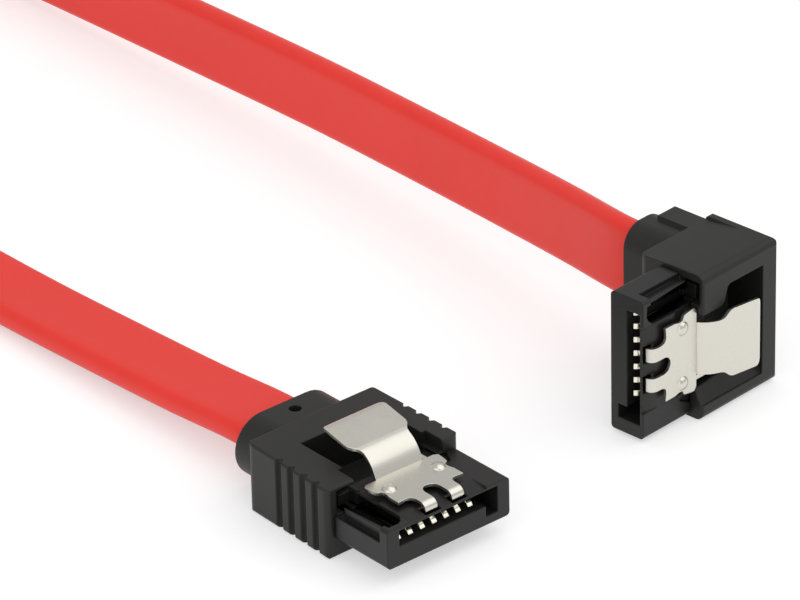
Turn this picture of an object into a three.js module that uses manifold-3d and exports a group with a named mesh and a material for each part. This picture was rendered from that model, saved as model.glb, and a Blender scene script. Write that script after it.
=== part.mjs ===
// Flat serial data cable with two latching plugs: a straight one and a right-angled one.
// Millimetres, +Z up. The straight plug lies on the floor (z = 0) and mates toward -Y.
// In a plug's own frame the mating face is y = 0, the latch is on the +Z side and the
// keyed foot of the slot is on the +X side.
import * as THREE from "three";
import { mergeVertices } from "three/addons/utils/BufferGeometryUtils.js";
import Module from "manifold-3d";

const wasm = await Module();
wasm.setup();

// Gap between a moulded body and what is moulded into it, and between the cable and a neck
const SEAT_GAP = 0.15;
const CORD_GAP = 0.3;

// Contacts
const CONTACT_COUNT = 7;
const CONTACT_PITCH = 1.27;
const CONTACT_CENTRE_X = -1.16;
const CONTACT_WIDTH = 0.52;
const CONTACT_THICKNESS = 0.18;
const CONTACT_TIP_Y = 0.42;
const CONTACT_FLOOR = 0.28;
const CONTACT_RISE = 0.52;
const CONTACT_BEND_Y = 2.4;
const CONTACT_TAIL = 1.2;

// Housing
const HOUSING_WIDTH = 13.0;
const HOUSING_HEIGHT = 3.56;
const HOUSING_FLOOR = 1.7;
const HOUSING_EDGE = 0.35;
const TANG_WALL = 1.4;
const TANG_MARGIN = 0.33;
const TANG_HEIGHT = 2.3;
const SLOT_MARGIN = 0.28;
const SLOT_SPARE = 2.32;
const SLOT_HEIGHT = 1.45;
const SLOT_TOP_WALL = 0.36;
const SLOT_DEPTH = 6.6;
const FOOT_WIDTH = 1.3;
const FOOT_DROP = 0.98;

// Open channel on the plain side of the housing, with a free rib in it
const CHANNEL_WIDTH = 2.45;
const CHANNEL_HEIGHT = 1.36;
const CHANNEL_FRONT_WALL = 0.95;
const CHANNEL_ROUND = 0.4;
const RIB_INSET = 0.5;
const RIB_WIDTH = 0.7;
const RIB_HEIGHT = 0.9;
const RIB_DROP = 0.06;
const RIB_REAR_Y = 5.2;

// Shallow well and front ramp of the housing that the latch lies over
const WELL_HALF = 4.05;
const WELL_DEPTH = 0.14;
const WELL_FRONT_Y = 4.0;
const RAMP_LENGTH = 2.0;
const LIP_DROP = 0.26;
const PRONG_HOLE_FRONT_Y = 0.2;
const PRONG_HOLE_REAR_Y = 1.35;
const PRONG_HOLE_MARGIN = 0.2;
const NOTCH_DEPTH = 0.3;

// Latch, folded from one sheet
const SHEET = 0.3;
const LATCH_LIFT = 0.34;
const PRONG_WIDTH = 1.26;
const PRONG_GAP = 1.56;
const PRONG_TIP_Y = 0.42;
const PRONG_CURL = 0.45;
const PLATE_FRONT_Y = 2.2;
const PLATE_WIDTH = 6.9;
const WING_WIDTH = 7.9;
const WING_FRONT_Y = 4.25;
const FOLD_Y = 6.05;
const ARM_WIDTH = 4.95;
const PAD_WIDTH = 6.4;
const PAD_FRONT_Y = 8.9;
const PAD_REAR_Y = 12.0;
const PAD_CORNER = 0.7;
const STRAIGHT_PAD_FRONT_Z = 8.05;
const STRAIGHT_PAD_REAR_Z = 8.65;
const ELBOW_PAD_FRONT_Z = 7.4;
const ELBOW_PAD_REAR_Z = 7.9;
const BUMP_X = 2.6;
const BUMP_Y = 4.25;
const BUMP_HEIGHT = 0.34;
const BUMP_RADIUS = 0.68;
const LEAF_WIDTH = 0.45;
const LEAF_DROP = 0.75;

// Straight shell
const BLOCK_FRONT = 6.6;
const BLOCK_WALL = 0.3;
const FLARE_LEFT = 0.4;
const FLARE_RIGHT = 0.1;
const BLOCK_LENGTH = 10.7;
const BLOCK_HEIGHT = 6.44;
const BLOCK_EDGE = 0.25;
const BLOCK_CORNER = 0.35;
const BLOCK_FRONT_CORNER = 0.55;
const GRIP_PITCH = 1.6;
const GROOVE_HALF = 0.42;
const GRIP_COUNT = 4;
const GRIP_DEPTH = 0.52;
const WINDOW_LEFT = 3.75;
const WINDOW_RIGHT = 4.65;
const WINDOW_RIM = 3.3;
const WINDOW_FLOOR = 2.4;
const MOUTH_LEFT = 4.3;
const MOUTH_RIGHT = 5.1;
const MOUTH_LENGTH = 2.1;
const POCKET_LENGTH = 1.45;
const POCKET_INSET = 0.32;
const POCKET_TOP = 6.1;

// Necks
const NECK_WIDTH = 10.6;
const NECK_HEIGHT = 5.7;
const NECK_LENGTH = 3.35;
const NECK_CENTRE_Z = 3.25;
const SOCKET_DEPTH = 1.0;
const HOLE_RADIUS = 0.55;
const HOLE_DEPTH = 1.2;
const HOLE_FROM_MOUTH = 1.5;

// Right-angled shell
const ELBOW_FRONT = 6.1;
const ELBOW_WALL = 0.35;
const ELBOW_LENGTH = 9.5;
const ELBOW_HEIGHT = 7.1;
const ELBOW_FLOOR = -0.55;
const ELBOW_CORNER = 0.8;
const ELBOW_PLAN_CORNER = 0.4;
const ELBOW_EDGE = 0.25;
const ELBOW_WINDOW_WIDTH = 10.8;
const ELBOW_RIM = 1.85;
const ELBOW_WINDOW_FLOOR = 2.6;
const WINDOW_CLEARANCE = 0.8;
const CHEEK_WIDTH = 1.7;
const CHEEK_DROP = 1.0;
const ELBOW_NECK_X = -1.9;
const ELBOW_NECK_WIDTH = 8.8;
const ELBOW_NECK_Y = 11.75;
const ELBOW_NECK_THICKNESS = 5.2;
const ELBOW_NECK_LENGTH = 4.45;
const RIDGE_THICKNESS = 2.05;
const RIDGE_LENGTH = 3.4;
const RIDGE_CORNER = 0.6;

// Where the right-angled plug stands, and how far it is turned on the floor
const ELBOW_X = 23.62;
const ELBOW_Y = 8.31;
const ELBOW_YAW = THREE.MathUtils.degToRad(5.8);

// Cable
const CABLE_WIDTH = 7.35;
const CABLE_THICKNESS = 2.1;
const CABLE_STEPS = 64;

const TANG_REAR = SLOT_DEPTH + TANG_WALL;
const CONTACT_REACH = (CONTACT_COUNT - 1) / 2 * CONTACT_PITCH;
const TANG_WIDTH = 2 * (Math.abs(CONTACT_CENTRE_X) + CONTACT_REACH + TANG_MARGIN);
const BLOCK_WIDTH = HOUSING_WIDTH + 2 * BLOCK_WALL;
const ELBOW_WIDTH = HOUSING_WIDTH + 2 * ELBOW_WALL;
const HOUSING_TOP = HOUSING_FLOOR + HOUSING_HEIGHT;
const SLOT_TOP = HOUSING_TOP - SLOT_TOP_WALL;
const SLOT_BOTTOM = SLOT_TOP - SLOT_HEIGHT;
const SLOT_LEFT = CONTACT_CENTRE_X - CONTACT_REACH - SLOT_MARGIN;
const SLOT_RIGHT = CONTACT_CENTRE_X + CONTACT_REACH + SLOT_MARGIN + SLOT_SPARE;
const HOUSING_LEFT = -HOUSING_WIDTH / 2;
const CHANNEL_RIGHT = HOUSING_LEFT + CHANNEL_WIDTH;
const CHANNEL_FLOOR = HOUSING_TOP - CHANNEL_HEIGHT;
const WELL_FLOOR = HOUSING_TOP - WELL_DEPTH;
const PLATE_BOTTOM = HOUSING_TOP + LATCH_LIFT;
const TANG_TOP = SLOT_TOP + SEAT_GAP / 2;
const TANG_BOTTOM = TANG_TOP - TANG_HEIGHT;
const CONTACT_Z = SLOT_BOTTOM + CONTACT_FLOOR;
const OVER = 1;
const BEND_STEPS = 7;

function solid(geometry) {
  geometry.deleteAttribute("normal");
  geometry.deleteAttribute("uv");
  const merged = mergeVertices(geometry, 1e-4);
  const mesh = new wasm.Mesh({
    numProp: 3,
    vertProperties: new Float32Array(merged.attributes.position.array),
    triVerts: new Uint32Array(merged.index.array),
  });
  return new wasm.Manifold(mesh);
}

function geometryOf(body) {
  const mesh = body.getMesh();
  const stride = mesh.numProp;
  const positions = new Float32Array(mesh.numVert * 3);
  for (let i = 0; i < mesh.numVert; i++) {
    positions.set(mesh.vertProperties.subarray(i * stride, i * stride + 3), i * 3);
  }
  const shared = new THREE.BufferGeometry();
  shared.setAttribute("position", new THREE.BufferAttribute(positions, 3));
  shared.setIndex(new THREE.BufferAttribute(new Uint32Array(mesh.triVerts), 1));
  const flat = shared.toNonIndexed();
  flat.computeVertexNormals();
  return flat;
}

function box(x0, x1, y0, y1, z0, z1) {
  const geometry = new THREE.BoxGeometry(x1 - x0, y1 - y0, z1 - z0);
  geometry.translate((x0 + x1) / 2, (y0 + y1) / 2, (z0 + z1) / 2);
  return solid(geometry);
}

// A shape drawn in X and Z, extruded from y0 to y1
function alongY(shape, y0, y1) {
  const geometry = new THREE.ExtrudeGeometry(shape, {
    depth: y1 - y0, bevelEnabled: false, curveSegments: 5,
  });
  geometry.rotateX(Math.PI / 2);
  geometry.translate(0, y1, 0);
  return solid(geometry);
}

// A shape drawn in X and Y, extruded from z0 to z1
function alongZ(shape, z0, z1) {
  const geometry = new THREE.ExtrudeGeometry(shape, {
    depth: z1 - z0, bevelEnabled: false, curveSegments: 5,
  });
  geometry.translate(0, 0, z0);
  return solid(geometry);
}

// A shape drawn in Y and Z, extruded from x0 to x1
function alongX(shape, x0, x1) {
  const geometry = new THREE.ExtrudeGeometry(shape, {
    depth: x1 - x0, bevelEnabled: false, curveSegments: 5,
  });
  const turn = new THREE.Matrix4().makeBasis(
    new THREE.Vector3(0, 1, 0),
    new THREE.Vector3(0, 0, 1),
    new THREE.Vector3(1, 0, 0),
  );
  geometry.applyMatrix4(turn);
  geometry.translate(x0, 0, 0);
  return solid(geometry);
}

function roundedRectangle(x0, x1, y0, y1, radius) {
  const r = Math.min(radius, (x1 - x0) / 2 - 1e-3, (y1 - y0) / 2 - 1e-3);
  const shape = new THREE.Shape();
  shape.moveTo(x0 + r, y0);
  shape.lineTo(x1 - r, y0);
  shape.absarc(x1 - r, y0 + r, r, -Math.PI / 2, 0);
  shape.lineTo(x1, y1 - r);
  shape.absarc(x1 - r, y1 - r, r, 0, Math.PI / 2);
  shape.lineTo(x0 + r, y1);
  shape.absarc(x0 + r, y1 - r, r, Math.PI / 2, Math.PI);
  shape.lineTo(x0, y0 + r);
  shape.absarc(x0 + r, y0 + r, r, Math.PI, 1.5 * Math.PI);
  return shape;
}

function polygon(points) {
  return new THREE.Shape(points.map(([u, v]) => new THREE.Vector2(u, v)));
}

// The outline of a bent sheet: a centre line thickened to both sides
function sheetProfile(path, thickness) {
  const line = path.getPoints(BEND_STEPS);
  const sides = [[], []];
  line.forEach((point, i) => {
    const before = line[Math.max(i - 1, 0)];
    const after = line[Math.min(i + 1, line.length - 1)];
    const along = after.clone().sub(before).normalize();
    const normal = new THREE.Vector2(-along.y, along.x).multiplyScalar(thickness / 2);
    sides[0].push(point.clone().sub(normal));
    sides[1].push(point.clone().add(normal));
  });
  return new THREE.Shape([...sides[0], ...sides[1].reverse()]);
}

function contactX(index) {
  return CONTACT_CENTRE_X + (index - (CONTACT_COUNT - 1) / 2) * CONTACT_PITCH;
}

// L-shaped slot, with its foot pointing away from the latch
function slotShape() {
  return polygon([
    [SLOT_LEFT, SLOT_BOTTOM],
    [SLOT_RIGHT - FOOT_WIDTH, SLOT_BOTTOM],
    [SLOT_RIGHT - FOOT_WIDTH, SLOT_BOTTOM - FOOT_DROP],
    [SLOT_RIGHT, SLOT_BOTTOM - FOOT_DROP],
    [SLOT_RIGHT, SLOT_TOP],
    [SLOT_LEFT, SLOT_TOP],
  ]);
}

// Curved front ramp, then the level top, then the well under the latch's wings
function rampProfile() {
  const top = HOUSING_TOP;
  const above = top + OVER;
  const shape = new THREE.Shape();
  shape.moveTo(-OVER, top - LIP_DROP - 0.2);
  shape.lineTo(0, top - LIP_DROP);
  shape.quadraticCurveTo(RAMP_LENGTH * 0.35, top - LIP_DROP * 0.3, RAMP_LENGTH, top + 0.01);
  shape.lineTo(WELL_FRONT_Y, top + 0.01);
  shape.lineTo(WELL_FRONT_Y + 0.1, WELL_FLOOR);
  shape.lineTo(TANG_REAR + OVER, WELL_FLOOR);
  shape.lineTo(TANG_REAR + OVER, above);
  shape.lineTo(-OVER, above);
  return shape;
}

// The side channel's plan, with a rounded front end
function channelPlan(rear) {
  const outside = HOUSING_LEFT - OVER;
  const shape = new THREE.Shape();
  shape.moveTo(outside, CHANNEL_FRONT_WALL);
  shape.lineTo(CHANNEL_RIGHT - CHANNEL_ROUND, CHANNEL_FRONT_WALL);
  shape.quadraticCurveTo(
    CHANNEL_RIGHT - 0.05, CHANNEL_FRONT_WALL,
    CHANNEL_RIGHT, CHANNEL_FRONT_WALL + CHANNEL_ROUND * 1.6,
  );
  shape.lineTo(CHANNEL_RIGHT, rear);
  shape.lineTo(outside, rear);
  return shape;
}

// Small wedge-shaped notch in the top, beside the shell
function notchPlan(rear) {
  const right = -HOUSING_LEFT;
  return polygon([
    [right - 2.05, rear - 1.35],
    [right - 1.75, rear - 1.25],
    [right - 0.6, rear + OVER],
    [right - 2.2, rear + OVER],
  ]);
}

function housingBody(shellFront) {
  const length = shellFront - SEAT_GAP;
  const outline = roundedRectangle(
    HOUSING_LEFT, -HOUSING_LEFT, HOUSING_FLOOR, HOUSING_TOP, HOUSING_EDGE,
  );
  const tang = box(
    -TANG_WIDTH / 2, TANG_WIDTH / 2, length - OVER, TANG_REAR, TANG_BOTTOM, TANG_TOP,
  );
  const ribLeft = HOUSING_LEFT + RIB_INSET;
  const rib = alongX(polygon([
    [CHANNEL_FRONT_WALL - OVER / 2, HOUSING_TOP - RIB_HEIGHT],
    [RIB_REAR_Y, HOUSING_TOP - RIB_HEIGHT],
    [RIB_REAR_Y, HOUSING_TOP - RIB_DROP * 3],
    [CHANNEL_FRONT_WALL - OVER / 2, HOUSING_TOP - RIB_DROP],
  ]), ribLeft, ribLeft + RIB_WIDTH);
  let body = alongY(outline, 0, length)
    .add(tang)
    .subtract(alongZ(channelPlan(length + OVER), CHANNEL_FLOOR, HOUSING_TOP + OVER))
    .subtract(alongX(rampProfile(), -WELL_HALF, WELL_HALF))
    .subtract(alongZ(notchPlan(length), HOUSING_TOP - NOTCH_DEPTH, HOUSING_TOP + OVER))
    .add(rib)
    .subtract(alongY(slotShape(), -OVER, SLOT_DEPTH));
  for (const side of [-1, 1]) {
    const inner = PRONG_GAP / 2 - PRONG_HOLE_MARGIN;
    const outer = PRONG_GAP / 2 + PRONG_WIDTH + PRONG_HOLE_MARGIN;
    body = body.subtract(box(
      Math.min(side * inner, side * outer), Math.max(side * inner, side * outer),
      PRONG_HOLE_FRONT_Y, PRONG_HOLE_REAR_Y, SLOT_TOP - OVER / 2, HOUSING_TOP + OVER,
    ));
  }
  for (let i = 0; i < CONTACT_COUNT; i++) {
    const half = CONTACT_WIDTH / 2 + SEAT_GAP;
    const reach = CONTACT_THICKNESS / 2 + SEAT_GAP;
    const seat = box(
      contactX(i) - half, contactX(i) + half, SLOT_DEPTH - OVER / 2,
      SLOT_DEPTH + CONTACT_TAIL + SEAT_GAP, CONTACT_Z - reach, CONTACT_Z + reach,
    );
    body = body.subtract(seat);
  }
  return body;
}

// A spring strip along the slot's floor, with a hump at its front end
function contactBody(index) {
  const top = CONTACT_Z + CONTACT_RISE;
  const path = new THREE.Path();
  path.moveTo(SLOT_DEPTH + CONTACT_TAIL, CONTACT_Z);
  path.lineTo(CONTACT_BEND_Y, CONTACT_Z);
  path.quadraticCurveTo(
    (CONTACT_BEND_Y + CONTACT_TIP_Y) / 2, CONTACT_Z, CONTACT_TIP_Y + 0.75, top - 0.06,
  );
  path.quadraticCurveTo(CONTACT_TIP_Y + 0.35, top + 0.12, CONTACT_TIP_Y, CONTACT_Z + 0.08);
  const x = contactX(index);
  return alongX(sheetProfile(path, CONTACT_THICKNESS), x - CONTACT_WIDTH / 2, x + CONTACT_WIDTH / 2);
}

// Plan of the latch: prongs with a round cut between them, plate, wings, arm and thumb pad
function latchPlan() {
  const inner = PRONG_GAP / 2;
  const outer = inner + PRONG_WIDTH;
  const plate = PLATE_WIDTH / 2;
  const wing = WING_WIDTH / 2;
  const arm = ARM_WIDTH / 2;
  const pad = PAD_WIDTH / 2;
  const cutY = PLATE_FRONT_Y - 0.25;
  const front = PRONG_TIP_Y - OVER;
  const shape = new THREE.Shape();
  shape.moveTo(inner, front);
  shape.lineTo(outer, front);
  shape.lineTo(outer, PLATE_FRONT_Y - 0.8);
  shape.quadraticCurveTo(outer, PLATE_FRONT_Y, outer + 0.6, PLATE_FRONT_Y);
  shape.lineTo(plate, PLATE_FRONT_Y - 0.08);
  shape.lineTo(plate, PLATE_FRONT_Y + 1.1);
  shape.quadraticCurveTo(plate - 0.2, WING_FRONT_Y - 0.4, plate - 0.1, WING_FRONT_Y);
  shape.lineTo(wing - 0.2, WING_FRONT_Y + 0.2);
  shape.quadraticCurveTo(wing, FOLD_Y - 0.9, wing, FOLD_Y - 0.3);
  shape.lineTo(wing - 0.35, FOLD_Y - 0.06);
  shape.lineTo(arm, FOLD_Y - 0.06);
  shape.lineTo(arm, FOLD_Y + 1.5);
  shape.bezierCurveTo(arm + 0.05, PAD_FRONT_Y - 0.6, pad - 0.1, PAD_FRONT_Y - 0.7, pad, PAD_FRONT_Y);
  shape.lineTo(pad, PAD_REAR_Y - PAD_CORNER);
  shape.quadraticCurveTo(pad, PAD_REAR_Y, pad - PAD_CORNER, PAD_REAR_Y);
  const half = shape.getPoints(5);
  const cut = [];
  for (let i = 0; i <= 8; i++) {
    const turn = (Math.PI * i) / 8;
    cut.push(new THREE.Vector2(-Math.cos(turn) * inner, cutY + Math.sin(turn) * inner));
  }
  const mirrored = half.map((p) => new THREE.Vector2(-p.x, p.y)).reverse();
  return new THREE.Shape([...half, ...mirrored, ...cut]);
}

function latchBody(padFrontZ, padRearZ) {
  const middle = PLATE_BOTTOM + SHEET / 2;
  const path = new THREE.Path();
  path.moveTo(PRONG_TIP_Y + SHEET / 2, middle - SHEET / 2 - PRONG_CURL);
  path.quadraticCurveTo(PRONG_TIP_Y + SHEET / 2, middle, PRONG_TIP_Y + 0.85, middle);
  path.lineTo(FOLD_Y, middle);
  path.lineTo(FOLD_Y + 0.12, middle + 0.12);
  path.quadraticCurveTo(FOLD_Y + 0.75, padFrontZ - 0.45, PAD_FRONT_Y - 0.7, padFrontZ - 0.17);
  path.lineTo(PAD_REAR_Y - 0.7, padRearZ - SHEET / 2);
  path.quadraticCurveTo(
    PAD_REAR_Y - 0.25, padRearZ - SHEET / 2 + 0.02, PAD_REAR_Y + 0.1, padRearZ - SHEET / 2 - 0.25,
  );
  let body = alongX(sheetProfile(path, SHEET), -WING_WIDTH, WING_WIDTH)
    .intersect(alongZ(latchPlan(), PLATE_BOTTOM - BLOCK_HEIGHT, padRearZ + BLOCK_HEIGHT));
  const above = box(-WING_WIDTH, WING_WIDTH, 0, FOLD_Y, middle, middle + OVER);
  for (const side of [-1, 1]) {
    const bump = new THREE.SphereGeometry(1, 16, 10);
    bump.scale(BUMP_RADIUS, BUMP_RADIUS, BUMP_HEIGHT + SHEET / 2);
    bump.translate(side * BUMP_X, BUMP_Y, middle);
    body = body.add(solid(bump).intersect(above));
  }
  const leafPath = new THREE.Path();
  leafPath.moveTo(FOLD_Y - 0.6, middle);
  leafPath.lineTo(TANG_REAR - 0.1, middle);
  leafPath.quadraticCurveTo(TANG_REAR + 0.4, middle, TANG_REAR + 1.1, middle - LEAF_DROP);
  const leafX = ARM_WIDTH / 2 + 0.1;
  return body.add(alongX(sheetProfile(leafPath, SHEET * 0.7), leafX, leafX + LEAF_WIDTH));
}

// One flank of the straight shell, front to rear: grip ribs with rounded grooves, then a land
function flank(flare) {
  const rear = BLOCK_FRONT + BLOCK_LENGTH;
  const half = (y) => BLOCK_WIDTH / 2 + flare * (rear - y) / BLOCK_LENGTH;
  const side = [];
  const corner = BLOCK_FRONT_CORNER;
  for (let i = 0; i <= 4; i++) {
    const turn = (Math.PI / 2) * (i / 4);
    const y = BLOCK_FRONT + corner * (1 - Math.cos(turn));
    side.push(new THREE.Vector2(half(y) - corner * (1 - Math.sin(turn)), y));
  }
  for (let groove = 1; groove <= GRIP_COUNT; groove++) {
    for (let i = -3; i <= 3; i++) {
      const y = BLOCK_FRONT + groove * GRIP_PITCH + (GROOVE_HALF * i) / 3;
      const sink = GRIP_DEPTH * Math.cos((Math.PI / 2) * (i / 3)) ** 0.8;
      side.push(new THREE.Vector2(half(y) - Math.max(sink, 0), y));
    }
  }
  for (let i = 0; i <= 4; i++) {
    const turn = (Math.PI / 2) * (i / 4);
    const y = rear - BLOCK_CORNER * (1 - Math.sin(turn));
    side.push(new THREE.Vector2(half(y) - BLOCK_CORNER * (1 - Math.cos(turn)), y));
  }
  return side;
}

function blockPlan() {
  const left = flank(FLARE_LEFT).map((p) => new THREE.Vector2(-p.x, p.y)).reverse();
  return new THREE.Shape([...flank(FLARE_RIGHT), ...left]);
}

// What every shell leaves clear for the housing's tang and side channel
function housingClearance(frontY) {
  const tang = box(
    -TANG_WIDTH / 2 - SEAT_GAP, TANG_WIDTH / 2 + SEAT_GAP, frontY - OVER, TANG_REAR + SEAT_GAP,
    TANG_BOTTOM - SEAT_GAP, TANG_TOP + SEAT_GAP,
  );
  const pocket = box(
    HOUSING_LEFT + POCKET_INSET, CHANNEL_RIGHT, frontY - OVER, frontY + POCKET_LENGTH,
    CHANNEL_FLOOR, POCKET_TOP,
  );
  return tang.add(pocket);
}

function cableSection(grow) {
  return roundedRectangle(
    -CABLE_WIDTH / 2 - grow, CABLE_WIDTH / 2 + grow,
    -CABLE_THICKNESS / 2 - grow, CABLE_THICKNESS / 2 + grow,
    CABLE_THICKNESS / 2 + grow,
  );
}

function straightShellBody() {
  const rear = BLOCK_FRONT + BLOCK_LENGTH;
  const mouth = rear + NECK_LENGTH;
  const left = BLOCK_WIDTH / 2 + FLARE_LEFT;
  const right = BLOCK_WIDTH / 2 + FLARE_RIGHT;
  const section = roundedRectangle(-left, right, 0, BLOCK_HEIGHT, BLOCK_EDGE);
  const side = roundedRectangle(BLOCK_FRONT, rear, 0, BLOCK_HEIGHT, BLOCK_EDGE);
  const block = alongZ(blockPlan(), 0, BLOCK_HEIGHT)
    .intersect(alongY(section, BLOCK_FRONT, rear))
    .intersect(alongX(side, -left, right));
  const neckSection = roundedRectangle(
    -NECK_WIDTH / 2, NECK_WIDTH / 2,
    NECK_CENTRE_Z - NECK_HEIGHT / 2, NECK_CENTRE_Z + NECK_HEIGHT / 2, NECK_HEIGHT / 2,
  );
  const windowRear = rear - WINDOW_RIM;
  const window = box(
    -WINDOW_LEFT, WINDOW_RIGHT, BLOCK_FRONT - OVER, windowRear,
    TANG_TOP - SEAT_GAP, BLOCK_HEIGHT + OVER,
  ).add(box(
    -WINDOW_LEFT, WINDOW_RIGHT, TANG_REAR + 2 * SEAT_GAP, windowRear,
    WINDOW_FLOOR, BLOCK_HEIGHT,
  ));
  const mouthWindow = box(
    -MOUTH_LEFT, MOUTH_RIGHT, BLOCK_FRONT - OVER, BLOCK_FRONT + MOUTH_LENGTH,
    HOUSING_TOP, BLOCK_HEIGHT + OVER,
  );
  const socket = alongY(cableSection(CORD_GAP), mouth - SOCKET_DEPTH, mouth + OVER)
    .translate([0, 0, NECK_CENTRE_Z]);
  const hole = new THREE.CylinderGeometry(HOLE_RADIUS, HOLE_RADIUS, HOLE_DEPTH * 2, 16);
  hole.rotateX(Math.PI / 2);
  hole.translate(0, mouth - HOLE_FROM_MOUTH, NECK_CENTRE_Z + NECK_HEIGHT / 2);
  return block
    .add(alongY(neckSection, rear - OVER, mouth))
    .subtract(window)
    .subtract(mouthWindow)
    .subtract(housingClearance(BLOCK_FRONT))
    .subtract(socket)
    .subtract(solid(hole));
}

// The right-angled shell's side view, rounded most at its inner front edge
function elbowSide(front, rear, top) {
  const edge = ELBOW_EDGE;
  const shape = new THREE.Shape();
  shape.moveTo(front + ELBOW_CORNER, ELBOW_FLOOR);
  shape.lineTo(rear - edge, ELBOW_FLOOR);
  shape.quadraticCurveTo(rear, ELBOW_FLOOR, rear, ELBOW_FLOOR + edge);
  shape.lineTo(rear, top - edge);
  shape.quadraticCurveTo(rear, top, rear - edge, top);
  shape.lineTo(front + edge, top);
  shape.quadraticCurveTo(front, top, front, top - edge);
  shape.lineTo(front, ELBOW_FLOOR + ELBOW_CORNER);
  shape.quadraticCurveTo(front, ELBOW_FLOOR, front + ELBOW_CORNER, ELBOW_FLOOR);
  return shape;
}

// The window's plan: as narrow as the latch's arm at the front and wide at the rear
function elbowWindowPlan(front, rear) {
  const narrow = ARM_WIDTH / 2 + WINDOW_CLEARANCE;
  const wide = ELBOW_WINDOW_WIDTH / 2 - 0.4;
  const shoulder = PAD_FRONT_Y - 0.3;
  const shape = new THREE.Shape();
  shape.moveTo(-narrow, front - OVER);
  shape.lineTo(narrow + 0.8, front - OVER);
  shape.lineTo(wide - 1.2, shoulder);
  shape.lineTo(wide - 0.9, rear);
  shape.lineTo(-wide, rear);
  shape.lineTo(-wide, shoulder + 0.9);
  shape.bezierCurveTo(-wide, shoulder + 0.2, -narrow, shoulder + 0.6, -narrow, shoulder - 0.3);
  return shape;
}

function elbowShellBody() {
  const half = ELBOW_WIDTH / 2;
  const front = ELBOW_FRONT;
  const rear = front + ELBOW_LENGTH;
  const top = ELBOW_FLOOR + ELBOW_HEIGHT;
  const section = roundedRectangle(-half, half, ELBOW_FLOOR, top, ELBOW_EDGE);
  const plan = roundedRectangle(-half, half, front - OVER, rear, ELBOW_PLAN_CORNER);
  const block = alongY(section, front, rear)
    .intersect(alongZ(plan, ELBOW_FLOOR, top))
    .intersect(alongX(elbowSide(front, rear, top), -half, half));
  const windowRear = rear - ELBOW_RIM;
  const windowHalf = ELBOW_WINDOW_WIDTH / 2;
  const window = alongZ(elbowWindowPlan(front, windowRear), ELBOW_WINDOW_FLOOR, top + OVER);
  const cheek = alongY(polygon([
    [0, top - CHEEK_DROP],
    [windowHalf - CHEEK_WIDTH, top - CHEEK_DROP],
    [windowHalf - CHEEK_WIDTH * 0.3, top - CHEEK_DROP * 0.55],
    [windowHalf, top - 0.2],
    [windowHalf, top + OVER],
    [0, top + OVER],
  ]), front - OVER, windowRear);
  const mouthZ = ELBOW_FLOOR - ELBOW_NECK_LENGTH;
  const neckPlan = roundedRectangle(
    ELBOW_NECK_X - ELBOW_NECK_WIDTH / 2, ELBOW_NECK_X + ELBOW_NECK_WIDTH / 2,
    ELBOW_NECK_Y - ELBOW_NECK_THICKNESS / 2, ELBOW_NECK_Y + ELBOW_NECK_THICKNESS / 2,
    ELBOW_NECK_THICKNESS / 2 - 0.5,
  );
  const ridgeRear = ELBOW_NECK_Y + ELBOW_NECK_THICKNESS / 2;
  const ridge = alongZ(roundedRectangle(
    -half, half - 1.2, ridgeRear - RIDGE_THICKNESS, ridgeRear - 0.02, RIDGE_CORNER,
  ), ELBOW_FLOOR - RIDGE_LENGTH, ELBOW_FLOOR + OVER);
  const socket = alongZ(cableSection(CORD_GAP), mouthZ - OVER, mouthZ + SOCKET_DEPTH)
    .translate([ELBOW_NECK_X, ELBOW_NECK_Y, 0]);
  return block
    .add(alongZ(neckPlan, mouthZ, ELBOW_FLOOR + OVER))
    .add(ridge)
    .subtract(window)
    .subtract(cheek)
    .subtract(housingClearance(front))
    .subtract(socket);
}

// The plug that stands on its foot end: its own X points down and its latch faces -Y
const elbowFrame = new THREE.Group();
const elbowTurn = new THREE.Matrix4().makeBasis(
  new THREE.Vector3(0, 0, -1),
  new THREE.Vector3(1, 0, 0),
  new THREE.Vector3(0, -1, 0),
);
elbowFrame.quaternion.setFromRotationMatrix(elbowTurn);
elbowFrame.quaternion.premultiply(
  new THREE.Quaternion().setFromAxisAngle(new THREE.Vector3(0, 0, 1), ELBOW_YAW),
);
elbowFrame.position.set(ELBOW_X, ELBOW_Y, ELBOW_WIDTH / 2);
elbowFrame.updateMatrixWorld(true);

// Where the cable starts and ends: at the floor of each neck's socket, a gap away from it
const straightEnd = new THREE.Vector3(
  0, BLOCK_FRONT + BLOCK_LENGTH + NECK_LENGTH - SOCKET_DEPTH + CORD_GAP, NECK_CENTRE_Z,
);
const elbowMouthZ = ELBOW_FLOOR - ELBOW_NECK_LENGTH;
const elbowEnd = elbowFrame.localToWorld(
  new THREE.Vector3(ELBOW_NECK_X, ELBOW_NECK_Y, elbowMouthZ + SOCKET_DEPTH - CORD_GAP),
);
const elbowOut = new THREE.Vector3(0, 0, -1).applyQuaternion(elbowFrame.quaternion);
const onEdge = CABLE_WIDTH / 2 + 0.06;

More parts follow.
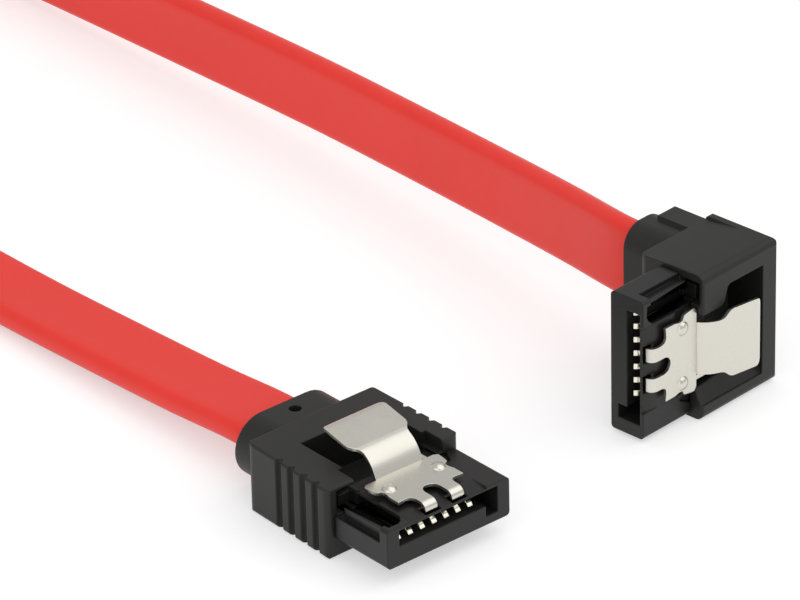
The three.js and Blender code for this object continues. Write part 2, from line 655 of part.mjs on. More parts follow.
// The route is kept as points chosen by hand between the two necks
const route = [
  straightEnd,
  straightEnd.clone().add(new THREE.Vector3(0, 4, 0)),
  new THREE.Vector3(0, 32, 2.6),
  new THREE.Vector3(0, 44, 1.95),
  new THREE.Vector3(0, 57, 1.4),
  new THREE.Vector3(0, 71, 1.3),
  new THREE.Vector3(0, 86, 1.95),
  new THREE.Vector3(0, 101, 3.1),
  new THREE.Vector3(0, 116, 3.85),
  new THREE.Vector3(0, 130, 3.9),
  new THREE.Vector3(1.5, 141, onEdge + 0.08),
  new THREE.Vector3(7.5, 150.5, onEdge),
  new THREE.Vector3(18.5, 155.5, onEdge),
  new THREE.Vector3(29.5, 151, onEdge),
  new THREE.Vector3(36, 141.5, onEdge + 0.1),
  new THREE.Vector3(38.5, 130, onEdge + 0.3),
  new THREE.Vector3(39.3, 110, 4.3),
  new THREE.Vector3(39.2, 85, 5.2),
  new THREE.Vector3(38.8, 62, 6.1),
  new THREE.Vector3(38.15, 49, 6.6),
  new THREE.Vector3(37.2, 35, 7.2),
  new THREE.Vector3(35.95, 25, 8.0),
  elbowEnd.clone().addScaledVector(elbowOut, 2.5),
  elbowEnd,
];
const TWIST_START = 0.16;
const TWIST_END = 0.4;

// The cable lies flat at the straight plug and stands on edge at the right-angled one
class CablePath extends THREE.CatmullRomCurve3 {
  computeFrenetFrames(segments) {
    const tangents = [];
    const normals = [];
    const binormals = [];
    for (let i = 0; i <= segments; i++) {
      const u = i / segments;
      const tangent = this.getTangentAt(u);
      const level = new THREE.Vector3(0, 0, 1).cross(tangent).normalize();
      const upward = tangent.clone().cross(level);
      const share = THREE.MathUtils.smoothstep(u, TWIST_START, TWIST_END);
      const turn = (share * Math.PI) / 2;
      const wide = level.clone().multiplyScalar(Math.cos(turn)).addScaledVector(upward, Math.sin(turn));
      tangents.push(tangent);
      normals.push(wide);
      binormals.push(tangent.clone().cross(wide));
    }
    return { tangents, normals, binormals };
  }
}

function cableBody() {
  const path = new CablePath(route, false, "centripetal");
  const w = CABLE_WIDTH / 2;
  const t = CABLE_THICKNESS / 2;
  const section = polygon([
    [-w, -t * 0.45], [-w + t * 0.6, -t], [w - t * 0.6, -t], [w, -t * 0.45],
    [w, t * 0.45], [w - t * 0.6, t], [-w + t * 0.6, t], [-w, t * 0.45],
  ]);
  const geometry = new THREE.ExtrudeGeometry(section, {
    extrudePath: path, steps: CABLE_STEPS, bevelEnabled: false,
  });
  return solid(geometry);
}

const PLASTIC = { color: 0x3b3a38, roughness: 0.55, metalness: 0.0 };
const SHELL = { color: 0x403f3d, roughness: 0.6, metalness: 0.0 };
const STEEL = { color: 0xd2d0c8, roughness: 0.3, metalness: 1.0 };
const GOLD = { color: 0xe3d9b8, roughness: 0.3, metalness: 1.0 };
const JACKET = { color: 0xe5483f, roughness: 0.4, metalness: 0.0 };

function node(name, body, look) {
  const mesh = new THREE.Mesh(geometryOf(body), new THREE.MeshStandardMaterial(look));
  mesh.name = name;
  return mesh;
}

function fillPlug(group, prefix, shell, housing, latch) {
  group.add(node(prefix + "_shell", shell, SHELL));
  group.add(node(prefix + "_housing", housing, PLASTIC));
  group.add(node(prefix + "_latch", latch, STEEL));
  for (let i = 0; i < CONTACT_COUNT; i++) {
    group.add(node(prefix + "_contact_" + (i + 1), contactBody(i), GOLD));
  }
}

const straightFrame = new THREE.Group();
fillPlug(
  straightFrame, "straight", straightShellBody(), housingBody(BLOCK_FRONT),
  latchBody(STRAIGHT_PAD_FRONT_Z, STRAIGHT_PAD_REAR_Z),
);
fillPlug(
  elbowFrame, "angled", elbowShellBody(), housingBody(ELBOW_FRONT),
  latchBody(ELBOW_PAD_FRONT_Z, ELBOW_PAD_REAR_Z),
);

// The origin lies on the floor, midway between the outermost faces of the two plugs
const plugs = new THREE.Group();
plugs.add(straightFrame, elbowFrame);
const reach = new THREE.Box3().setFromObject(plugs, true);
const middle = reach.getCenter(new THREE.Vector3());
const assembly = new THREE.Group();
assembly.add(plugs, node("cable", cableBody(), JACKET));
assembly.position.set(-middle.x, -middle.y, -reach.min.z);

const object = new THREE.Group();
object.add(assembly);

export default object;
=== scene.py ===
"""Looks of a flat data cable with two latching plugs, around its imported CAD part."""

import math

import bmesh
import bpy
from mathutils import Matrix, Vector


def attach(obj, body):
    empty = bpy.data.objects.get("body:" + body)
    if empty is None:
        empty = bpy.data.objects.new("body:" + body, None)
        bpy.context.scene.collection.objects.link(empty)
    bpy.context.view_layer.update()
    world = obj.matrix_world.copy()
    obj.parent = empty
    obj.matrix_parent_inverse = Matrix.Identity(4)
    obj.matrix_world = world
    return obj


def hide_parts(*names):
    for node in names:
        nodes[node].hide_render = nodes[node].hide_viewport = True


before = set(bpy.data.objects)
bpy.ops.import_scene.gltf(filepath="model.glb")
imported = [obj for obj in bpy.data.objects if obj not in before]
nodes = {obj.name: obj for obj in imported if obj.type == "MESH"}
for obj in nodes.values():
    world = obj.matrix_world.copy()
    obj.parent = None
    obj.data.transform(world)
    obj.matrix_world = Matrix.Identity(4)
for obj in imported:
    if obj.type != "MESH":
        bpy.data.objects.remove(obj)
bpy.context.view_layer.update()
MM = 0.001
ROOT = "cable_and_plugs"
BODY_OF = {"straight_latch": "straight_spring", "angled_latch": "angled_spring"}
# From the straight plug's own frame to the row's, in millimetres
OFFSET = Vector((-16.299, -10.325, 0))

# The camera, as solved from the photo
AZIMUTH = math.radians(-40.1)
ELEVATION = math.radians(28.6)
ROLL = math.radians(-1.4)
FOCAL_PIXELS, PICTURE_WIDTH = 5661, 800
SENSOR_WIDTH = 36
DISTANCE = 0.4671
TARGET = (Vector((10.03, 17.33, 13.26)) + OFFSET) * MM
CLIP_START, CLIP_END = 0.01, 10


def put(name, data):
    """A new object in the scene."""
    made = bpy.data.objects.new(name, data)
    bpy.context.scene.collection.objects.link(made)
    return made


def add_camera():
    data = bpy.data.cameras.new("camera")
    camera = put("camera", data)
    back = Vector((
        math.sin(AZIMUTH) * math.cos(ELEVATION),
        -math.cos(AZIMUTH) * math.cos(ELEVATION),
        math.sin(ELEVATION),
    ))
    level = (-back).cross(Vector((0, 0, 1))).normalized()
    above = level.cross(-back)
    right = level * math.cos(ROLL) + above * math.sin(ROLL)
    up = above * math.cos(ROLL) - level * math.sin(ROLL)
    turn = Matrix((right, up, back)).transposed()
    camera.matrix_world = Matrix.Translation(TARGET + back * DISTANCE) @ turn.to_4x4()
    data.sensor_width = SENSOR_WIDTH
    data.lens = FOCAL_PIXELS / PICTURE_WIDTH * SENSOR_WIDTH
    data.clip_start = CLIP_START
    data.clip_end = CLIP_END
    bpy.context.scene.camera = camera


add_camera()

# ---------- materials ----------

# Radii of the edges' shading and heights of the grain, in metres
MOULDED_EDGE, MOULDED_GRAIN = 0.00018, 0.00002
SHEET_EDGE, SHEET_LINES = 0.00006, 0.000006
STRIP_WAVES = 0.000006
JACKET_GRAIN, JACKET_WAVES = 0.00001, 0.0002
# How far the jacket lets red, green and blue light in, in metres
JACKET_DEPTH = (0.0012, 0.0003, 0.0002)
JACKET_SOFTNESS = 0.08
# What a sheet's colour is multiplied by where it is smudged
SMUDGE = (1.0, 0.985, 0.94)


class Shader:
    """A node tree with a principled shader, and short ways to add nodes to it."""

    def __init__(self, name, colour, roughness, metallic=0.0, specular=0.5):
        self.material = bpy.data.materials.new(name)
        self.material.use_nodes = True
        self.material.diffuse_color = (*colour, 1)
        self.tree = self.material.node_tree
        self.main = self.tree.nodes["Principled BSDF"]
        self.main.inputs["Base Color"].default_value = (*colour, 1)
        self.main.inputs["Roughness"].default_value = roughness
        self.main.inputs["Metallic"].default_value = metallic
        self.main.inputs["Specular IOR Level"].default_value = specular

    def add(self, kind, inputs=None, **settings):
        node = self.tree.nodes.new(kind)
        for name, value in settings.items():
            setattr(node, name, value)
        for name, value in (inputs or {}).items():
            if isinstance(value, bpy.types.NodeSocket):
                self.tree.links.new(value, node.inputs[name])
            else:
                node.inputs[name].default_value = value
        return node

    def link(self, source, socket):
        self.tree.links.new(source, self.main.inputs[socket])

    def place(self, scale=(1, 1, 1)):
        """Object coordinates in millimetres, stretched by scale."""
        where = self.add("ShaderNodeTexCoord").outputs["Object"]
        size = tuple(s / MM for s in scale)
        return self.add("ShaderNodeMapping", {"Vector": where, "Scale": size}).outputs["Vector"]

    def noise(self, where, scale, detail):
        inputs = {"Vector": where, "Scale": scale, "Detail": detail}
        return self.add("ShaderNodeTexNoise", inputs).outputs["Fac"]

    def span(self, value, low, high):
        inputs = {"Value": value, "To Min": low, "To Max": high}
        return self.add("ShaderNodeMapRange", inputs).outputs["Result"]

    def between(self, factor, first, second):
        """A colour between two; the node's colour sockets are reached by their numbers."""
        mix = self.add("ShaderNodeMix", data_type="RGBA")
        self.tree.links.new(factor, mix.inputs[0])
        mix.inputs[6].default_value = (*first, 1)
        mix.inputs[7].default_value = (*second, 1)
        return mix.outputs[2]

    def bump(self, height, distance, strength, base=None):
        inputs = {"Height": height, "Distance": distance, "Strength": strength}
        if base is not None:
            inputs["Normal"] = base
        return self.add("ShaderNodeBump", inputs).outputs["Normal"]

    def rounded(self, radius):
        return self.add("ShaderNodeBevel", {"Radius": radius}, samples=6).outputs["Normal"]


def moulded(name, dark, light, roughness, grain):
    """Moulded plastic: fine spark texture, faint shade changes and soft edges."""
    shader = Shader(name, dark, roughness, specular=0.3)
    where = shader.place()
    fine = shader.noise(where, grain, 4)
    cloud = shader.noise(where, 0.35, 3)
    shader.link(shader.between(cloud, dark, light), "Base Color")
    shader.link(shader.span(cloud, roughness - 0.06, roughness + 0.08), "Roughness")
    edges = shader.rounded(MOULDED_EDGE)
    shader.link(shader.bump(fine, MOULDED_GRAIN, 0.5, edges), "Normal")
    return shader.material


def sheet_metal(name, colour, roughness, along):
    """Bright rolled sheet: fine lines along the rolling direction and slight smudges."""
    shader = Shader(name, colour, roughness, metallic=1.0)
    lines = shader.noise(shader.place(along), 3.0, 4)
    cloud = shader.noise(shader.place(), 0.5, 2)
    shader.link(shader.span(cloud, roughness - 0.05, roughness + 0.09), "Roughness")
    edges = shader.rounded(SHEET_EDGE)
    shader.link(shader.bump(lines, SHEET_LINES, 0.35, edges), "Normal")
    warm = tuple(c * k for c, k in zip(colour, SMUDGE))
    shader.link(shader.between(cloud, colour, warm), "Base Color")
    return shader.material


def plated_strip(name, plated, rear_painted_shade):
    """Contact strip: pale plating at the raised front end; behind it the strip is painted
    nearly black, painted shade for where it lies deep in the slot.
    """
    shader = Shader(name, plated, 0.24, metallic=1.0)
    cloud = shader.noise(shader.place(), 2.0, 2)
    front = shader.add("ShaderNodeAttribute", attribute_name="plating_and_painted_shade").outputs["Fac"]
    # Behind the plated front the colour is nearly black: painted shade, not the metal's own
    # colour
    shader.link(shader.between(front, rear_painted_shade, plated), "Base Color")
    shader.link(shader.span(cloud, 0.2, 0.34), "Roughness")
    shader.link(shader.bump(cloud, STRIP_WAVES, 0.4), "Normal")
    return shader.material


def soft_jacket(name, deep, bright):
    """Soft jacket: nearly smooth, with faint waves from its wires and a slight skin grain."""
    shader = Shader(name, bright, 0.36, specular=0.3)
    where = shader.place()
    cloud = shader.noise(where, 0.12, 3)
    fine = shader.noise(where, 6.0, 3)
    shader.link(shader.between(cloud, deep, bright), "Base Color")
    shader.link(shader.span(cloud, 0.33, 0.45), "Roughness")
    waves = shader.bump(cloud, JACKET_WAVES, 0.4)
    shader.link(shader.bump(fine, JACKET_GRAIN, 0.5, waves), "Normal")
    shader.main.inputs["Subsurface Weight"].default_value = JACKET_SOFTNESS
    shader.main.inputs["Subsurface Radius"].default_value = JACKET_DEPTH
    shader.main.inputs["Subsurface Scale"].default_value = 1.0
    return shader.material


MATERIALS = {
    "shell": moulded(
        "shell_plastic", (0.013, 0.0127, 0.012), (0.021, 0.0205, 0.019), 0.44, 9.0,
    ),
    "housing": moulded(
        "housing_plastic", (0.011, 0.0108, 0.0104), (0.016, 0.0155, 0.015), 0.36, 14.0,
    ),
    "latch": sheet_metal("latch_steel", (0.68, 0.665, 0.61), 0.26, (12, 0.6, 0.6)),
    # The contacts' second colour, nearly black, is painted shade on their rear parts inside the
    # slot
    "contact": plated_strip("contact_plating_and_painted_shade", (0.86, 0.82, 0.7), (0.03, 0.028, 0.024)),
    "cable": soft_jacket("jacket", (0.78, 0.034, 0.023), (0.88, 0.043, 0.03)),
}
SLOTS = {
    "shell": "shell_plastic", "housing": "housing_plastic", "latch": "latch_steel",
    "contact": "contact_metal", "cable": "cable_jacket",
}


def kind_of(name):
    return next(k for k in SLOTS if k in name)


# ---------- the plugs' own frames ----------

ELBOW_YAW = math.radians(5.8)
ELBOW_PLACE = Vector((23.62, 8.31, 6.85))


def from_elbow(x, y, z):
    """A point of the right-angled plug's own frame, in the straight plug's frame."""
    turned = Matrix.Rotation(ELBOW_YAW, 3, "Z") @ Vector((y, -z, -x))
    return turned + ELBOW_PLACE


def in_straight(x, y, z):
    """A point of the straight plug's own frame, in metres in the scene."""
    return (Vector((x, y, z)) + OFFSET) * MM


def in_angled(x, y, z):
    """A point of the right-angled plug's own frame, in metres in the scene."""
    return (from_elbow(x, y, z) + OFFSET) * MM


# ---------- the cable ----------

CABLE_WIDTH = 7.35
CABLE_THICKNESS = 2.1
# The half-round edges' share of half the thickness, and how far the middle is hollow
EDGE_SHARE, HOLLOW = 0.8, 0.05
EDGE_STEPS, FACE_STEPS = 8, 8
CABLE_STEPS, CURVE_STEPS = 300, 24
# Where along its length the cable turns from flat to on edge
TWIST_START, TWIST_END = 0.16, 0.4
# The route in the straight plug's frame, from its socket toward the right-angled plug
ROUTE = [
    (0, 19.95, 3.25),
    (0, 23.95, 3.25),
    (0, 32, 2.6),
    (0, 44, 1.95),
    (0, 57, 1.4),
    (0, 71, 1.3),
    (0, 86, 1.95),
    (0, 101, 3.1),
    (0, 116, 3.85),
    (0, 130, 3.9),
    (1.5, 141, 3.815),
    (7.5, 150.5, 3.735),
    (18.5, 155.5, 3.735),
    (29.5, 151, 3.735),
    (36, 141.5, 3.835),
    (38.5, 130, 4.035),
    (39.3, 110, 4.3),
    (39.2, 85, 5.2),
    (38.8, 62, 6.1),
    (38.15, 49, 6.6),
    (37.2, 35, 7.2),
    (35.95, 25, 8.0),
]
# Its end in the right-angled plug's frame, and the straight run before it
ELBOW_END_X, ELBOW_END_Y, ELBOW_END_Z = -1.9, 11.75, -4.3
ELBOW_RUN = 2.5


def cable_route():
    inner = from_elbow(ELBOW_END_X, ELBOW_END_Y, ELBOW_END_Z)
    outward = (from_elbow(ELBOW_END_X, ELBOW_END_Y, ELBOW_END_Z - 1) - inner).normalized()
    points = [Vector(p) for p in ROUTE] + [inner + outward * ELBOW_RUN, inner]
    return [p + OFFSET for p in points]


def centripetal(points):
    """Points of a centripetal Catmull-Rom curve through the given ones."""
    ends = [points[0] * 2 - points[1], *points, points[-1] * 2 - points[-2]]
    line = []
    for a, b, c, d in zip(ends, ends[1:], ends[2:], ends[3:]):
        t1 = (b - a).length ** 0.5
        t2 = t1 + (c - b).length ** 0.5
        t3 = t2 + (d - c).length ** 0.5
        for i in range(CURVE_STEPS):
            t = t1 + (t2 - t1) * i / CURVE_STEPS
            ab = a * ((t1 - t) / t1) + b * (t / t1)
            bc = b * ((t2 - t) / (t2 - t1)) + c * ((t - t1) / (t2 - t1))
            cd = c * ((t3 - t) / (t3 - t2)) + d * ((t - t2) / (t3 - t2))
            abc = ab * ((t2 - t) / t2) + bc * (t / t2)
            bcd = bc * ((t3 - t) / (t3 - t1)) + cd * ((t - t1) / (t3 - t1))
            line.append(abc * ((t2 - t) / (t2 - t1)) + bcd * ((t - t1) / (t2 - t1)))
    return line + [points[-1]]


def evenly(line, count):
    """The same line as equally long steps."""
    lengths = [0.0]
    for a, b in zip(line, line[1:]):
        lengths.append(lengths[-1] + (b - a).length)
    out, j = [], 0
    for i in range(count + 1):
        want = lengths[-1] * i / count
        while j < len(line) - 2 and lengths[j + 1] < want:
            j += 1
        share = (want - lengths[j]) / (lengths[j + 1] - lengths[j])
        out.append(line[j].lerp(line[j + 1], min(max(share, 0), 1)))
    return out


def smoothstep(u, low, high):
    s = min(max((u - low) / (high - low), 0), 1)
    return s * s * (3 - 2 * s)


def cable_section():
    """Half-round edges and a slightly hollow middle: points anticlockwise, in millimetres."""
    w, t = CABLE_WIDTH / 2, CABLE_THICKNESS / 2
    inset = t * EDGE_SHARE
    points = []
    for side in (1, -1):
        for i in range(EDGE_STEPS + 1):
            a = -math.pi / 2 + math.pi * i / EDGE_STEPS
            points.append((side * (w - inset + inset * math.cos(a)), side * t * math.sin(a)))
        for i in range(1, FACE_STEPS):
            x = (w - inset) * (1 - 2 * i / FACE_STEPS)
            points.append((side * x, side * (t - HOLLOW * (1 - (x / w) ** 2))))
    return points


def build_cable():
    line = evenly(centripetal(cable_route()), CABLE_STEPS)
    section = cable_section()
    mesh = bpy.data.meshes.new("cable_jacket")
    bm = bmesh.new()
    rings = []
    for i, point in enumerate(line):
        ahead = line[min(i + 1, len(line) - 1)] - line[max(i - 1, 0)]
        ahead.normalize()
        level = Vector((0, 0, 1)).cross(ahead).normalized()
        upward = ahead.cross(level)
        turn = smoothstep(i / (len(line) - 1), TWIST_START, TWIST_END) * math.pi / 2
        wide = level * math.cos(turn) + upward * math.sin(turn)
        thick = ahead.cross(wide)
        rings.append([bm.verts.new((point + wide * x + thick * y) * MM) for x, y in section])
    for a, b in zip(rings, rings[1:]):
        for i in range(len(section)):
            j = (i + 1) % len(section)
            bm.faces.new((a[i], a[j], b[j], b[i]))
    bm.faces.new(reversed(rings[0]))
    bm.faces.new(rings[-1])
    bmesh.ops.recalc_face_normals(bm, faces=bm.faces)
    bm.to_mesh(mesh)
    bm.free()
    for face in mesh.polygons:
        face.use_smooth = len(face.vertices) == 4
    jacket = put("cable_jacket", mesh)
    mesh.materials.append(MATERIALS["cable"])
    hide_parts("cable")
    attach(jacket, ROOT)


build_cable()

# ---------- tools that join or cut ----------


def as_tool(bm):
    """A closed mesh as an object for one boolean step."""
    bmesh.ops.recalc_face_normals(bm, faces=bm.faces)
    mesh = bpy.data.meshes.new("tool")
    bm.to_mesh(mesh)
    bm.free()
    return put("tool", mesh)


def hull(points, place):
    bm = bmesh.new()
    for point in points:
        bm.verts.new(place(*point))
    bmesh.ops.convex_hull(bm, input=bm.verts)
    return as_tool(bm)


def upright(outline, low, high):
    return [(x, y, z) for x, y in outline for z in (low, high)]


def prism(outline, low, high, place):
    """A prism along the third axis, over an outline that may have hollow parts."""
    bm = bmesh.new()
    rings = [[bm.verts.new(place(x, y, z)) for x, y in outline] for z in (low, high)]
    for ring in rings:
        bm.faces.new(ring)
    for i in range(len(outline)):
        j = (i + 1) % len(outline)
        bm.faces.new((rings[0][i], rings[0][j], rings[1][j], rings[1][i]))
    return as_tool(bm)


# How far a tool reaches past what it cuts, and the steps of a rounded corner
OUTSIDE = 0.2
CORNER_STEPS = 8


def corner_outline(x, y, side, end, radius):
    """What a rounded corner leaves off a square one; side and end are the way out, 1 or -1."""
    outline = [
        (x - side * radius, y + end * OUTSIDE), (x + side * OUTSIDE, y + end * OUTSIDE),
        (x + side * OUTSIDE, y - end * radius),
    ]
    for i in range(CORNER_STEPS + 1):
        a = math.pi / 2 * i / CORNER_STEPS
        across, onward = radius * (1 - math.cos(a)), radius * (1 - math.sin(a))
        outline.append((x - side * across, y - end * onward))
    return outline


def combine(piece, tool, operation):
    """Joins the tool to a piece or cuts it out, and removes the tool."""
    step = piece.modifiers.new("combine", "BOOLEAN")
    step.operation = operation
    step.object = tool
    step.solver = "EXACT"
    seen = bpy.context.evaluated_depsgraph_get()
    made = bpy.data.meshes.new_from_object(piece.evaluated_get(seen))
    piece.modifiers.clear()
    piece.data = made
    bpy.data.objects.remove(tool)


# ---------- finer forms of the plugs, in millimetres in their own frames ----------

# The straight shell's block, and its flanks' flare toward the front on each side
BLOCK_HALF, BLOCK_FRONT, BLOCK_REAR, BLOCK_TOP, BLOCK_CORNER = 6.8, 6.6, 17.3, 6.44, 0.8
FLARE_OF = {-1: 0.4, 1: 0.1}
TOP_ROUND, FOOT_ROUND = 0.2, 0.35

# The right-angled shell's block, its ridge, and the top's fall toward the ridge's free end
ELBOW_HALF, ELBOW_FRONT, ELBOW_REAR, ELBOW_TOP, ELBOW_CORNER = 6.85, 6.1, 15.6, 6.55, 0.8
RIDGE_REAR, RIDGE_END, RIDGE_ROOT = 14.65, -3.95, -0.4
RIDGE = [
    (-6.8, 12.35), (-6.8, 14.3), (-6.72, 14.5), (-6.5, RIDGE_REAR), (5.2, RIDGE_REAR),
    (5.5, 14.35), (5.5, 12.35),
]
FALL, FALL_END, FALL_EDGE, FALL_START = 0.24, -4.2, -0.6, 3.1
TOP_FALL = [
    (-ELBOW_HALF + FALL, FALL_END), (-ELBOW_HALF + FALL, FALL_EDGE), (-ELBOW_HALF, FALL_START),
    (-ELBOW_HALF - OUTSIDE, FALL_START), (-ELBOW_HALF - OUTSIDE, FALL_END),
]

# The housings' side channel: its floor, the roof beside it, its pocket and its rib
CHANNEL_Z, ROOF_Z = 3.9, 5.26
CUT_START, CUT_TOP = CHANNEL_Z + 0.01, ROOF_Z + 0.1
OLD_RIB = [(-6.05, 0.96), (-5.25, 0.96), (-5.25, 5.3), (-6.05, 5.3)]
POCKET_FRONT = [
    (-5.95, 0.5), (-4.95, 0.45), (-4.5, 0.7), (-4.2, 1.15), (-4.05, 1.8), (-5.95, 1.8),
]
NEW_RIB = [
    (-6.0, 0.8, CHANNEL_Z), (-5.8, 0.8, CHANNEL_Z), (-6.32, 0.8, 5.14), (-6.06, 0.8, 5.14),
    (-6.0, 5.6, CHANNEL_Z), (-5.9, 5.6, CHANNEL_Z), (-6.26, 5.6, 5.0), (-6.18, 5.6, 5.0),
]

# The contacts: how much counts as the front end, its corners, and where the plating fades into
# the painted shade behind it
TIP_BAND, TIP_RADIUS, TIP_STEPS = 0.05, 0.22, 5
PLATING_END_SHADE_START, PLATING_TO_SHADE_FADE = 2.0, 0.6
# The cosine above which an edge counts as upright
STEEP = 0.9


def beside_flank(side):
    """Places points of x, z and y so that they follow the flank's flare."""
    def place(x, z, y):
        flare = FLARE_OF[side] * (BLOCK_REAR - y) / (BLOCK_REAR - BLOCK_FRONT)
        return in_straight(x + side * flare, y, z)

    return place


def refine_straight_shell(piece):
    """Rounder rear corners, and rounder long edges along the flared flanks."""
    for side in (-1, 1):
        outline = corner_outline(side * BLOCK_HALF, BLOCK_REAR, side, 1, BLOCK_CORNER)
        combine(piece, prism(outline, -OUTSIDE, BLOCK_TOP + OUTSIDE, in_straight), "DIFFERENCE")
        for z, end, radius in ((BLOCK_TOP, 1, TOP_ROUND), (0, -1, FOOT_ROUND)):
            outline = corner_outline(side * BLOCK_HALF, z, side, end, radius)
            low, high = BLOCK_FRONT - OUTSIDE, BLOCK_REAR + OUTSIDE
            combine(piece, prism(outline, low, high, beside_flank(side)), "DIFFERENCE")


def refine_angled_shell(piece):
    """Rounder corners at the rim, the full ridge, and the top's slight fall toward it."""
    combine(piece, hull(upright(RIDGE, RIDGE_END, RIDGE_ROOT), in_angled), "UNION")
    fall = [(x, y, z) for x, z in TOP_FALL for y in (ELBOW_FRONT - OUTSIDE, RIDGE_REAR)]
    combine(piece, hull(fall, in_angled), "DIFFERENCE")
    low, high = ELBOW_FRONT - OUTSIDE, ELBOW_REAR + OUTSIDE
    for side in (-1, 1):
        outline = corner_outline(side * ELBOW_HALF, ELBOW_TOP, side, 1, ELBOW_CORNER)
        edge = prism(outline, low, high, lambda x, z, y: in_angled(x, y, z))
        combine(piece, edge, "DIFFERENCE")


def refine_housing(piece, place):
    """The thin leaning rib of the side channel, and the rounded front end of its pocket."""
    combine(piece, hull(upright(OLD_RIB, CUT_START, CUT_TOP), place), "DIFFERENCE")
    combine(piece, hull(upright(POCKET_FRONT, CHANNEL_Z, CUT_TOP), place), "DIFFERENCE")
    combine(piece, hull(NEW_RIB, place), "UNION")


def round_tip(mesh, place):
    """Rounds the two corners of a contact's front end, as seen from above."""
    start = place(0, 0, 0)
    along, up = (place(0, 1, 0) - start) / MM, (place(0, 0, 1) - start) / MM
    bm = bmesh.new()
    bm.from_mesh(mesh)
    tip = min((v.co - start).dot(along) for v in bm.verts)
    corners = [
        e for e in bm.edges
        if all((v.co - start).dot(along) < tip + TIP_BAND * MM for v in e.verts)
        and abs((e.verts[1].co - e.verts[0].co).normalized().dot(up)) > STEEP
    ]
    bmesh.ops.bevel(
        bm, geom=corners, offset=TIP_RADIUS * MM, segments=TIP_STEPS, profile=0.5,
        affect="EDGES",
    )
    bm.to_mesh(mesh)
    bm.free()


def mark_plating_and_painted_shade(mesh, place):
    """Stores 1 on the plated front end of a contact and 0 on the rest, which the material
    paints nearly black as painted shade.
    """
    start, along = place(0, 0, 0), (place(0, 1, 0) - place(0, 0, 0)) / MM
    plating_and_painted_shade = mesh.attributes.new("plating_and_painted_shade", "FLOAT", "POINT")
    for i, vertex in enumerate(mesh.vertices):
        depth = (vertex.co - start).dot(along) / MM
        plating_and_painted_shade.data[i].value = min(max((PLATING_END_SHADE_START - depth) / PLATING_TO_SHADE_FADE, 0), 1)


# ---------- the plugs ----------

# Edge rounding of each kind, in millimetres; the shells are rounded in the solid and by cuts
EDGE_OF = {"housing": 0.09, "latch": 0.06, "contact": 0.05}
# Points closer than this are one point: in the CAD mesh, and after the cuts, in metres
SAME_POINT, WELD = 1e-7, 0.000012
# Faces that turn by less than these are one flat face, before and after the cuts
FLAT, FLAT_AFTER_CUTS = math.radians(0.4), math.radians(0.6)
# Edges that turn by more than this are real corners
SHARP = math.radians(32)


def smooth_curves(mesh):
    """Smooth shading, except over edges that are real corners."""
    bm = bmesh.new()
    bm.from_mesh(mesh)
    bmesh.ops.remove_doubles(bm, verts=bm.verts, dist=WELD)
    bmesh.ops.dissolve_degenerate(bm, dist=WELD, edges=bm.edges)
    bmesh.ops.dissolve_limit(bm, angle_limit=FLAT_AFTER_CUTS, verts=bm.verts, edges=bm.edges)
    for face in bm.faces:
        face.smooth = True
    for edge in bm.edges:
        edge.smooth = edge.is_manifold and edge.calc_face_angle(0) < SHARP
    bm.to_mesh(mesh)
    bm.free()


def world_mesh(node):
    """A copy of a node's mesh in scene coordinates, with its flat faces joined."""
    mesh = node.data.copy()
    bm = bmesh.new()
    bm.from_mesh(mesh)
    bm.transform(node.matrix_world)
    bmesh.ops.remove_doubles(bm, verts=bm.verts, dist=SAME_POINT)
    bmesh.ops.dissolve_limit(bm, angle_limit=FLAT, verts=bm.verts, edges=bm.edges)
    bm.to_mesh(mesh)
    bm.free()
    return mesh


def finish_node(name):
    """A copy of a CAD node with its edges rounded and its curved faces shaded smooth."""
    kind = kind_of(name)
    place = in_straight if name.startswith("straight") else in_angled
    mesh = world_mesh(nodes[name])
    mesh.materials.clear()
    mesh.materials.append(MATERIALS[kind])
    piece = put(name + "_finish", mesh)
    if kind == "housing":
        refine_housing(piece, place)
    if name == "straight_shell":
        refine_straight_shell(piece)
    if name == "angled_shell":
        refine_angled_shell(piece)
    if kind == "contact":
        round_tip(piece.data, place)
    smooth_curves(piece.data)
    if kind == "contact":
        mark_plating_and_painted_shade(piece.data, place)
    if kind in EDGE_OF:
        rounding = piece.modifiers.new("edges", "BEVEL")
        rounding.limit_method = "ANGLE"
        rounding.angle_limit = SHARP
        rounding.width = EDGE_OF[kind] * MM
        rounding.segments = 2
    shading = piece.modifiers.new("shading", "WEIGHTED_NORMAL")
    shading.mode = "FACE_AREA"
    shading.weight = 100
    shading.keep_sharp = True
    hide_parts(name)
    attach(piece, BODY_OF.get(name, ROOT))


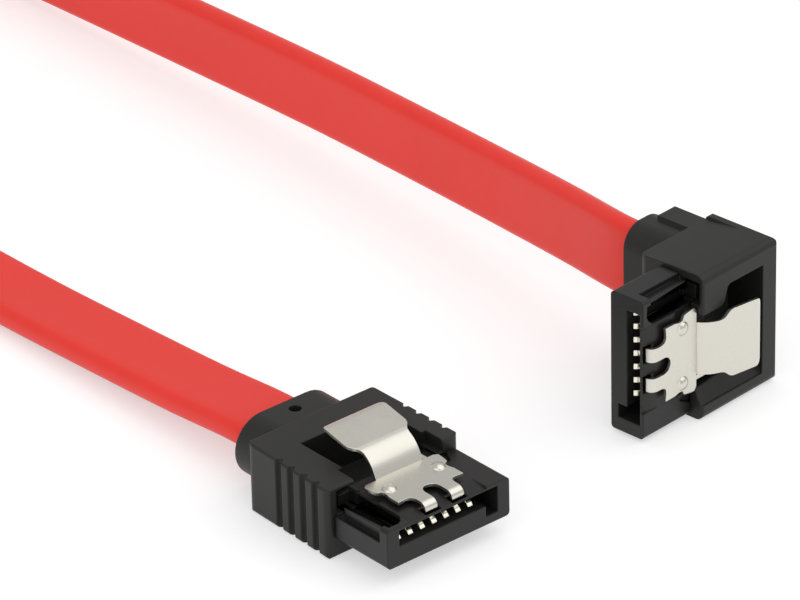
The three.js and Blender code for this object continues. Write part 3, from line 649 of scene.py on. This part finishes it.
for node_name in sorted(nodes):
    if node_name != "cable":
        finish_node(node_name)

# ---------- floor and light ----------

# The floor's colour to the lamps' light, and its colour and glow to the camera
PAPER, SEEN_PAPER, SEEN_GLOW = (0.95, 0.95, 0.95), (0.6, 0.6, 0.6), 0.5
FLOOR_HALF, FLOOR_DROP = 4, 0.00002
SKY = 0.62
# Name, place in metres, size in metres and power in watts
LAMPS = [
    ("key", (0.45, -0.4, 1.05), (1.6, 1.6), 6.6),
    ("left", (-0.9, -0.4, 0.55), (1.2, 1.2), 3.2),
]


def add_floor():
    shader = Shader("paper", PAPER, 0.9, specular=0.1)
    rays = shader.add("ShaderNodeLightPath").outputs
    either = {0: rays["Is Camera Ray"], 1: rays["Is Glossy Ray"]}
    seen = shader.add("ShaderNodeMath", either, operation="MAXIMUM").outputs[0]
    shader.main.inputs["Emission Color"].default_value = (1, 1, 1, 1)
    shader.link(shader.between(seen, PAPER, SEEN_PAPER), "Base Color")
    shader.link(shader.span(seen, 0.0, SEEN_GLOW), "Emission Strength")
    mesh = bpy.data.meshes.new("floor")
    half = FLOOR_HALF
    corners = [(-half, -half, 0), (half, -half, 0), (half, half, 0), (-half, half, 0)]
    mesh.from_pydata(corners, [], [(0, 1, 2, 3)])
    floor = put("floor", mesh)
    floor.location.z = -FLOOR_DROP
    mesh.materials.append(shader.material)


def add_light(name, place, size, energy):
    data = bpy.data.lights.new(name, "AREA")
    data.shape = "RECTANGLE"
    data.size, data.size_y = size
    data.energy = energy
    light = put(name, data)
    light.location = place
    light.rotation_mode = "QUATERNION"
    light.rotation_quaternion = (-Vector(place)).to_track_quat("-Z", "Y")


def add_world():
    world = bpy.data.worlds.new("studio")
    bpy.context.scene.world = world
    world.use_nodes = True
    background = world.node_tree.nodes["Background"]
    background.inputs["Color"].default_value = (1, 1, 1, 1)
    background.inputs["Strength"].default_value = SKY


add_floor()
add_world()
for lamp in LAMPS:
    add_light(*lamp)

bpy.context.scene.view_settings.view_transform = "Standard"
